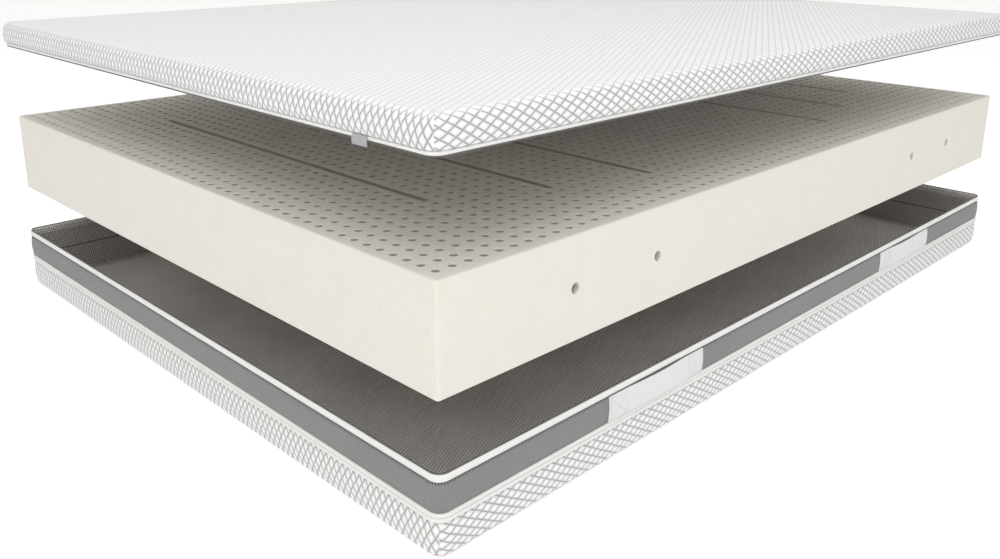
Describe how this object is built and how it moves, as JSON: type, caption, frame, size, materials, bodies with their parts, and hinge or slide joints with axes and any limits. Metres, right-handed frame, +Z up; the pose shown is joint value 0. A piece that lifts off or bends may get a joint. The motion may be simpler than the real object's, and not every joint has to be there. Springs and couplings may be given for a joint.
{
  "type": "zip-cover mattress",
  "caption": "Double mattress taken apart in levels: open fabric tray with mesh border and strap handles, perforated zoned foam core, padded lattice-knit cover top.",
  "frame": {"origin": "centre of the cover base's underside", "axes": "+Z up, +Y along the bed's length, +X across it towards one long side"},
  "size_m": [1.526, 2.0256, 0.6388],
  "materials": {
    "lattice_knit": "white knit cloth with a fine grey diagonal lattice",
    "wadding": "white quilted fibre wadding",
    "grey_lining": "grey ribbed lining cloth, dark where the foam shades it",
    "spacer_mesh": "mid grey three-dimensional spacer mesh",
    "white_band": "white woven band and piping",
    "zip_nylon": "dark grey nylon zip coil",
    "strap_cloth": "white fine-woven strap, stitched",
    "foam": "cream open-cell foam with a moulded skin and blind pin holes",
    "label_cloth": "grey satin-woven tape",
    "zip_metal": "bright nickel-plated zinc"
  },
  "bodies": {
    "cover_base": {"base_underside": "lattice_knit", "base_border_front": "lattice_knit", "base_border_right": "lattice_knit", "base_border_back": "lattice_knit", "base_border_left": "lattice_knit", "base_wadding": "wadding", "floor_lining": "grey_lining", "floor_seam_tape": "grey_lining", "wall_lining": "grey_lining", "inner_binding": "grey_lining", "border_pad_front": "wadding", "border_pad_right": "wadding", "border_pad_back": "wadding", "border_pad_left": "wadding", "piping_lower": "white_band", "piping_upper": "white_band", "border_mesh": "spacer_mesh", "zip_band_lower": "white_band", "zip_coil_lower": "zip_nylon", "handle_1_patch_a": "strap_cloth", "handle_1_patch_b": "strap_cloth", "handle_2_patch_a": "strap_cloth", "handle_2_patch_b": "strap_cloth", "handle_3_patch_a": "strap_cloth", "handle_3_patch_b": "strap_cloth", "handle_4_patch_a": "strap_cloth", "handle_4_patch_b": "strap_cloth"},
    "core": {"core_block": "foam"},
    "cover_top": {"lid_fabric": "lattice_knit", "lid_wadding": "wadding", "lid_lining": "grey_lining", "zip_band_upper": "white_band", "zip_coil_upper": "zip_nylon", "side_label": "label_cloth"},
    "zip_slider": {"zip_slider": "zip_metal"},
    "zip_pull": {"zip_pull": "zip_metal"},
    "handle_grip_1": {"handle_1_grip": "strap_cloth"},
    "handle_grip_2": {"handle_2_grip": "strap_cloth"},
    "handle_grip_3": {"handle_3_grip": "strap_cloth"},
    "handle_grip_4": {"handle_4_grip": "strap_cloth"}
  },
  "joints": [
    {"name": "core_lift", "type": "slide", "parent": "cover_base", "child": "core", "axis": [0, 0, 1], "range_m": [-0.2352, 0]},
    {"name": "cover_top_lift", "type": "slide", "parent": "core", "child": "cover_top", "axis": [0, 0, 1], "range_m": [-0.2088, 0]},
    {"name": "zip_travel", "type": "slide", "parent": "cover_base", "child": "zip_slider", "axis": [1, 0, 0], "range_m": [0, 1.4]},
    {"name": "pull_swing", "type": "hinge", "parent": "zip_slider", "child": "zip_pull", "pos_m": [-0.7, 1.0112, 0.139], "axis": [1, 0, 0], "range_deg": [0, 90]},
    {"name": "handle_pull_1", "type": "slide", "parent": "cover_base", "child": "handle_grip_1", "axis": [1, 0, 0], "range_m": [0, 0.03]},
    {"name": "handle_pull_2", "type": "slide", "parent": "cover_base", "child": "handle_grip_2", "axis": [1, 0, 0], "range_m": [0, 0.03]},
    {"name": "handle_pull_3", "type": "slide", "parent": "cover_base", "child": "handle_grip_3", "axis": [-1, 0, 0], "range_m": [0, 0.03]},
    {"name": "handle_pull_4", "type": "slide", "parent": "cover_base", "child": "handle_grip_4", "axis": [-1, 0, 0], "range_m": [0, 0.03]}
  ]
}
